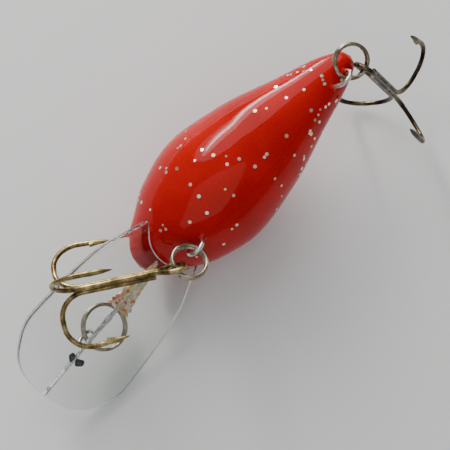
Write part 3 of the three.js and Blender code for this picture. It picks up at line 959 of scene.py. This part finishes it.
def chin_fillet(name, rise, material):
    """Thin rounded lip where the clear blade meets the lacquered chin."""
    path = []
    for i in range(LIP_STEPS + 1):
        side = -LIP_REACH + 2 * LIP_REACH * i / LIP_STEPS
        path.append(bill_point(chin_edge(rise, side), side, rise))
    smooth = [path[0]]
    for i in range(1, len(path) - 1):
        smooth.append((path[i - 1] + path[i] * 2 + path[i + 1]) / 4)
    smooth.append(path[-1])

    def size(distance, total, point, direction):
        nearer = min(distance, total - distance)
        return LIP_RADIUS * rising_share(LIP_END_SHARE, smooth_step(nearer / LIP_TAPER))

    points, faces = sweep(smooth, 14, size)
    return add_piece(name, points, faces, material, "lure_body")


def bill_rim_painted_highlight(side, name):
    """Thin white line just inside the blade's edge, from the chin to the tip: a painted highlight
    along the clear rim.
    """
    path = []
    for ahead, width in bill_rim(RIM_HIGHLIGHT_STEPS)[2:]:
        if ahead > RIM_HIGHLIGHT_START:
            inside = ahead - RIM_HIGHLIGHT_TIP_INSET * ahead / BILL_LENGTH
            half_width = max(RIM_HIGHLIGHT_LEAST_HALF_WIDTH, width - RIM_HIGHLIGHT_SIDE_INSET)
            path.append(bill_point(inside, side * half_width, BILL_THICKNESS / 2))
    points, faces = sweep(with_end_rings(path, RIM_HIGHLIGHT_RADIUS), 10, blunt_wire(RIM_HIGHLIGHT_RADIUS))
    # Drawn in the white weld plastic: a painted highlight along the clear rim.
    return add_piece(name, points, faces, WHITE_WELD_AND_PAINTED_HIGHLIGHT, "lure_body")


bill_plate(1, "bill_blade_left", "bill_half_left")
bill_plate(-1, "bill_blade_right", "bill_half_right")
weld_bead(draws)
cement_wedge(draws)
bill_peg()
# The lower lip is drawn in the white weld plastic: a painted highlight along the edge where the
# blade's lower face meets the chin.
chin_fillet("chin_lip_lower_painted_highlight", 0.0, WHITE_WELD_AND_PAINTED_HIGHLIGHT)
chin_fillet("chin_lip_upper", BILL_THICKNESS, CLEAR)
bill_rim_painted_highlight(1, "bill_rim_painted_highlight_left")
bill_rim_painted_highlight(-1, "bill_rim_painted_highlight_right")

# ---------------------------------------------------------------- wire forms


def wire_form(name, rows, node):
    """Bent wire with rounded ends that stands for one CAD wire."""
    path = with_end_rings(rounded_path(rows), WIRE_RADIUS)
    points, faces = sweep(path, WIRE_SIDES, blunt_wire(WIRE_RADIUS))
    return add_piece(name, points, faces, STAINLESS, "lure_body", (node,))


def tie_rows():
    """Corners of the line tie wire, from its buried front end to its end inside the chin."""
    middle = BILL_THICKNESS / 2
    top = BILL_THICKNESS + TIE_EYE_RISE
    eye_corner = TIE_EYE_RADIUS - EYE_CORNER_SLACK
    front = TIE_EYE_AHEAD + TIE_EYE_RADIUS
    rear = TIE_EYE_AHEAD - TIE_EYE_RADIUS
    return [
        (bill_point(front + TIE_FRONT_TAIL, 0, middle), 0),
        (bill_point(front, 0, middle), TIE_CORNER),
        (bill_point(front, 0, top), eye_corner),
        (bill_point(rear, 0, top), eye_corner),
        (bill_point(rear, 0, middle), TIE_CORNER),
        (bill_point(TIE_REAR_END, 0, middle), 0),
    ]


def staple_rows(centre, along, out, rise):
    """Corners of a hook hanger: two buried feet and a round eye at a height above the skin."""
    def at(a, o):
        return centre + along * a + out * o

    half = HANGER_EYE_RADIUS
    eye_corner = half - EYE_CORNER_SLACK
    return [
        (at(-half - HANGER_FOOT, -HANGER_BURIED), 0),
        (at(-half, -HANGER_BURIED), HANGER_CORNER),
        (at(-half, rise), eye_corner),
        (at(half, rise), eye_corner),
        (at(half, -HANGER_BURIED), HANGER_CORNER),
        (at(half + HANGER_FOOT, -HANGER_BURIED), 0),
    ]


def wire_collars(name, centre, along, out):
    """Lacquer drawn up in a small ring around each leg of a hanger where it leaves the body."""
    points, faces = [], []
    for leg in (-1, 1):
        spot = centre + along * (leg * HANGER_EYE_RADIUS)
        surface, highest, step = -3.0, 3, 0.02
        while inside_body(spot + out * surface) and surface < highest:
            surface += step
        here = frame_matrix(spot + out * (surface + step), out, along)
        start = len(points)
        for radius, rise in COLLAR_PROFILE:
            for k in range(COLLAR_SIDES):
                a = math.tau * k / COLLAR_SIDES
                points.append(here @ Vector((radius * math.cos(a), radius * math.sin(a), rise)))
        faces += ring_quads(len(COLLAR_PROFILE), COLLAR_SIDES, start, closed=True)
    return add_piece(name, points, faces, LACQUER, "lure_body")


belly_along = Vector((0.92, 0, 0.39)).normalized()
belly_out = Vector((0.39, 0, -0.92)).normalized()
belly_seat = Vector((BELLY_HANGER_X, 0, table_value(BODY_PROFILE, 2, BELLY_HANGER_X)))
tail_along = Vector((0.8, 0, -0.6)).normalized()
tail_out = Vector((-0.6, 0, -0.8)).normalized()
tail_seat = Vector((TAIL_HANGER_X, 0, TAIL_HANGER_Z))

belly_rows = staple_rows(belly_seat, belly_along, belly_out, BELLY_HANGER_RISE)
tail_rows = staple_rows(tail_seat, tail_along, tail_out, TAIL_HANGER_RISE)
wire_form("line_tie_form", tie_rows(), "line_tie_wire")
wire_form("belly_hanger_form", belly_rows, "belly_hook_hanger")
wire_form("tail_hanger_form", tail_rows, "tail_hook_hanger")
wire_collars("belly_hanger_collars", belly_seat, belly_along, belly_out)
wire_collars("tail_hanger_collars", tail_seat, tail_along, tail_out)

# ---------------------------------------------------------------- split rings


def split_ring(name, radius, place, body, node):
    """Two close coils of flattened spring wire, the ends ground thin."""
    path = []
    for i in range(RING_STEPS + 1):
        turn = RING_TURNS * (i / RING_STEPS - 0.5)
        angle = math.tau * turn
        path.append(Vector((radius * math.cos(angle), radius * math.sin(angle), RING_PITCH * turn)))

    def size(distance, total, point, direction):
        near = min(distance, total - distance)
        end = rising_share(RING_END_SHARE, math.sqrt(min(1.0, near / RING_END_TAPER)))
        flat = 1 - RING_FLATTENING * abs(direction.z) ** 2
        return RING_WIRE_RADIUS * end * flat

    points, faces = sweep(path, WIRE_SIDES, size)
    return add_piece(name, points, faces, NICKEL, body, (node,), local=place)


# ---------------------------------------------------------------- treble hooks


def leg_rows(azimuth_deg, neck):
    """Corners of one hook of a treble, from the neck down its shank and up to its point."""
    azimuth = math.radians(azimuth_deg)

    def at(r, z):
        return Vector((r * math.cos(azimuth), r * math.sin(azimuth), z))

    bottom = -HOOK_DEPTH + HOOK_WIRE_RADIUS
    return [
        (at(HOOK_BUNDLE_RADIUS, -neck), HOOK_NECK_CORNER),
        (at(HOOK_BUNDLE_RADIUS, bottom), HOOK_BEND_RADIUS),
        (at(HOOK_GAPE, bottom), HOOK_BEND_RADIUS),
        (at(HOOK_GAPE - HOOK_POINT_LEAN, -HOOK_DEPTH + HOOK_POINT_RISE), 0),
    ]


def fine_tip(path, length=5.5, steps=44):
    """Closer points over the last stretch before a path's end, where the barb and needle are."""
    tip = path[-1]
    line = (path[-2] - tip).normalized()
    kept = [p for p in path[:-1] if (p - tip).length > length]
    close = [tip + line * (length * (1 - k / steps) ** 1.15) for k in range(steps)]
    return kept + close + [tip]


def hook_size(point_ends):
    """Radius of hook wire: needle point, barb cut on the inside, bend forged slightly flat."""
    barb_end = BARB_BACK + BARB_LENGTH

    def size(distance, total, point, direction):
        radius = HOOK_WIRE_RADIUS
        near = total
        if "start" in point_ends:
            near = min(near, distance)
        if "end" in point_ends:
            near = min(near, total - distance)
        inward = Vector((-point.x, -point.y, 0))
        if inward.length > 1e-6:
            inward.normalize()
        facing = direction.dot(inward)
        if near < HOOK_TAPER:
            share = near / HOOK_TAPER
            rounded = math.sin(share * math.pi / 2) ** HOOK_NEEDLE_POWER
            radius *= rising_share(HOOK_TIP_SHARE, rounded)
        if BARB_BACK < near < barb_end and facing > 0:
            share = (near - BARB_BACK) / BARB_LENGTH
            radius += BARB_RISE * share * smooth_step((facing - BARB_FACING[0]) / BARB_FACING[1])
        if barb_end <= near < barb_end + BARB_CUT_LENGTH and facing > 0:
            share = (near - BARB_BACK - BARB_LENGTH) / BARB_CUT_LENGTH
            depth = smooth_step((facing - BARB_CUT_FACING[0]) / BARB_CUT_FACING[1])
            radius -= BARB_CUT_DEPTH * (1 - share) * depth
        forged_top = -HOOK_DEPTH + FORGED_HEIGHT
        if point.z < forged_top and point.xy.length > FORGED_OUTSIDE:
            across = abs(direction.dot(inward.cross(Vector((0, 0, 1)))))
            forged = smooth_step((forged_top - point.z) / FORGED_FADE)
            radius *= 1 - FORGED_FLATTENING * across ** 2 * forged
        return radius
    return size


def double_hook(name, material, place, body, node):
    """One wire bent into two hooks with the treble's eye between them."""
    left = leg_rows(0, HOOK_NECK)
    right = leg_rows(120, HOOK_NECK)
    middle = (left[0][0] + right[0][0]) / 2
    across = (left[0][0] - right[0][0]).normalized()

    def at(a, z):
        return Vector((middle.x, middle.y, z)) + across * a

    eye = HOOK_EYE_RADIUS
    rows = list(reversed(left)) + [
        (at(eye, -HOOK_EYE_THROAT), HOOK_EYE_THROAT),
        (at(eye, eye), eye - EYE_CORNER_SLACK),
        (at(-eye, eye), eye - EYE_CORNER_SLACK),
        (at(-eye, -HOOK_EYE_THROAT), HOOK_EYE_THROAT),
    ] + right
    path = fine_tip(rounded_path(rows, 6))
    path = list(reversed(fine_tip(list(reversed(path)))))
    points, faces = sweep(path, WIRE_SIDES, hook_size(("start", "end")))
    return add_piece(name, points, faces, material, body, (node,), local=place)


def single_hook(name, material, place, body, node):
    """Third hook of a treble, brazed to the other two."""
    path = fine_tip(rounded_path(leg_rows(240, HOOK_NECK + HOOK_THIRD_LOWER), 6))
    points, faces = sweep(path, WIRE_SIDES, hook_size(("end",)))
    return add_piece(name, points, faces, material, body, (node,), local=place)


def braze_fill(name, material, place, body, draws):
    """Brazing metal run into the valleys between the three shanks."""
    top = -HOOK_NECK + BRAZE_TOP_GAP
    bottom = -HOOK_DEPTH + HOOK_BEND_RADIUS - BRAZE_BOTTOM_GAP
    points = []
    lobes = [draws.uniform(*BRAZE_LOBES) for _ in range(3)]
    for i in range(BRAZE_STEPS + 1):
        t = i / BRAZE_STEPS
        z = top + (bottom - top) * t
        end = math.sin(math.pi * min(1.0, min(t, 1 - t) * BRAZE_END_FADE) / 2)
        for k in range(BRAZE_SIDES):
            a = math.tau * k / BRAZE_SIDES
            valley = 0.5 - 0.5 * math.cos(3 * a)
            lobe = lobes[int(((a - math.radians(1)) % math.tau) / (math.tau / 3)) % 3]
            ripple = 1 + 0.05 * math.sin(z * 2.1 + 4 * a) + 0.03 * math.sin(z * 5.3 - 2 * a)
            fill = BRAZE_CORE_RADIUS + BRAZE_VALLEY_DEPTH * valley * lobe
            radius = fill * ripple * rising_share(BRAZE_END_SHARE, end)
            points.append(Vector((radius * math.cos(a), radius * math.sin(a), z)))
    rows = BRAZE_STEPS + 1
    faces = ring_quads(rows, BRAZE_SIDES) + end_caps(rows, BRAZE_SIDES)
    return add_piece(name, points, faces, material, body, local=place)


HOOK_FINISH = {
    "belly": (BRONZE, BRAZE, "bronze_hook"),
    "tail": (DARK_BRONZE, DARK_BRAZE, "dark_hook"),
}


def build_rig(rig, facts):
    """Split ring and treble hook of one hanger, each riding on its own body."""
    ring_place = frame_matrix(facts["ring_centre"], facts["ring_axis"], (1, 0, 0))
    ring_body, ring_node = f"{rig}_ring", f"{rig}_split_ring"
    split_ring(f"{rig}_ring_coils", HOOK_RING_RADIUS, ring_place, ring_body, ring_node)
    shank = Vector(facts["shank"])
    hook_place = frame_matrix(facts["hook_eye"], -shank, facts["prong"])
    wire, braze, slot = HOOK_FINISH[rig]
    body = f"{rig}_treble"
    double_hook(f"{rig}_double_hook", wire, hook_place, body, f"{rig}_treble_double_hook")
    single_hook(f"{rig}_single_hook", wire, hook_place, body, f"{rig}_treble_single_hook")
    braze_fill(f"{rig}_treble_braze", braze, hook_place, body, draws)


for rig_name, rig_facts in RIGS.items():
    build_rig(rig_name, rig_facts)

tie_place = frame_matrix(TIE_RING_CENTRE, TIE_RING_AXIS, (1, 0, 0))
tie_body, tie_node = "line_tie_ring", "line_tie_split_ring"
split_ring("line_tie_ring_coils", TIE_RING_RADIUS, tie_place, tie_body, tie_node)

# ---------------------------------------------------------------- CAD nodes that stay


def finish_node(node, material, sharp_deg=30):
    """Give a CAD node that stays its material and smooth shading."""
    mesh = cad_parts[node].data
    mesh.materials.clear()
    mesh.materials.append(material)
    mesh.polygons.foreach_set("use_smooth", [True] * len(mesh.polygons))
    mesh.set_sharp_from_angle(angle=math.radians(sharp_deg))


finish_node("body_shell_left", SHELL)
finish_node("body_shell_right", SHELL)
finish_node("ballast_weight", WEIGHT)
finish_node("rattle_ball_rear", BALL, 60)
finish_node("rattle_ball_front", BALL, 60)

# ---------------------------------------------------------------- studio

FLOOR_SIZE = 3.0
FLOOR_DROP = 0.00003
VIEW_AZIMUTH_DEG = 45.35
VIEW_ELEVATION_DEG = 75.9
VIEW_ROLL_DEG = 0.48
VIEW_DISTANCE = 0.30163
VIEW_TARGET = Vector((0.00383, 0.00233, 0.01365))
LENS_MM = 124.06
SENSOR_MM = 36
CLIP_START = 0.01

WORLD_COLOUR = (0.86, 0.88, 0.90, 1)
WORLD_STRENGTH = 0.42
WARM_WHITE = (1.0, 0.985, 0.96)
STRIP_RUN = (-0.55, 0, -0.8)
# name, direction, distance, (width, height) in metres, power in watts, colour, long way
LIGHTS = (
    ("key_strip", (-0.34, -0.88, 0.36), 0.6, (0.045, 0.60), 1.7, WARM_WHITE, STRIP_RUN),
    ("key_glow", (-0.35, -0.88, 0.42), 0.64, (0.16, 0.72), 1.5, WARM_WHITE, STRIP_RUN),
    ("key_soft", (-0.5, -0.9, 0.9), 1.1, (1.1, 1.1), 6.0, (1.0, 0.99, 0.975), (0, 0, 1)),
    ("top_fill", (0.5, 0.35, 1.0), 1.3, (1.5, 1.5), 3.5, (0.97, 0.985, 1.0), (0, 0, 1)),
)


def floor_material():
    material, tree, shader = new_material("pale_floor")
    colour = ramp(tree, noise(tree, 6, 2.0), [
        (0.3, (0.80, 0.80, 0.79)),
        (0.7, (0.84, 0.84, 0.83)),
    ])
    tree.links.new(colour, shader.inputs["Base Color"])
    set_sockets(shader, {"Roughness": 0.75})
    return material


def add_floor():
    half = FLOOR_SIZE / 2
    mesh = bpy.data.meshes.new("floor")
    around = ((-half, -half), (half, -half), (half, half), (-half, half))
    corners = [(x, y, -FLOOR_DROP) for x, y in around]
    mesh.from_pydata(corners, [], [(0, 1, 2, 3)])
    mesh.materials.append(floor_material())
    floor = bpy.data.objects.new("floor", mesh)
    bpy.context.scene.collection.objects.link(floor)


def add_area_light(name, direction, distance, size, power, colour, long_way):
    """Soft elliptical light that faces the object from a direction."""
    data = bpy.data.lights.new(name, "AREA")
    data.shape = "ELLIPSE"
    data.size, data.size_y = size
    data.energy = power
    data.color = colour
    lamp = bpy.data.objects.new(name, data)
    away = Vector(direction).normalized()
    across = Vector(long_way).cross(away).normalized()
    basis = Matrix((across, away.cross(across), away)).transposed().to_4x4()
    lamp.matrix_world = Matrix.Translation(away * distance) @ basis
    bpy.context.scene.collection.objects.link(lamp)


def add_world():
    world = bpy.data.worlds.new("studio")
    world.use_nodes = True
    background = world.node_tree.nodes["Background"]
    set_sockets(background, {"Color": WORLD_COLOUR, "Strength": WORLD_STRENGTH})
    bpy.context.scene.world = world


def add_camera():
    """Camera at the chosen azimuth, elevation and roll around the view's target."""
    azimuth = math.radians(VIEW_AZIMUTH_DEG)
    elevation = math.radians(VIEW_ELEVATION_DEG)
    back = Vector((
        math.cos(elevation) * math.cos(azimuth),
        math.cos(elevation) * math.sin(azimuth),
        math.sin(elevation),
    ))
    right = Vector((0, 0, 1)).cross(back).normalized()
    right = Quaternion(back, math.radians(VIEW_ROLL_DEG)) @ right
    up = back.cross(right)
    data = bpy.data.cameras.new("camera")
    data.lens = LENS_MM
    data.sensor_width = SENSOR_MM
    data.clip_start = CLIP_START
    camera = bpy.data.objects.new("camera", data)
    basis = Matrix((right, up, back)).transposed().to_4x4()
    camera.matrix_world = Matrix.Translation(VIEW_TARGET + back * VIEW_DISTANCE) @ basis
    bpy.context.scene.collection.objects.link(camera)
    bpy.context.scene.camera = camera


add_floor()
add_world()
for light_row in LIGHTS:
    add_area_light(*light_row)
add_camera()
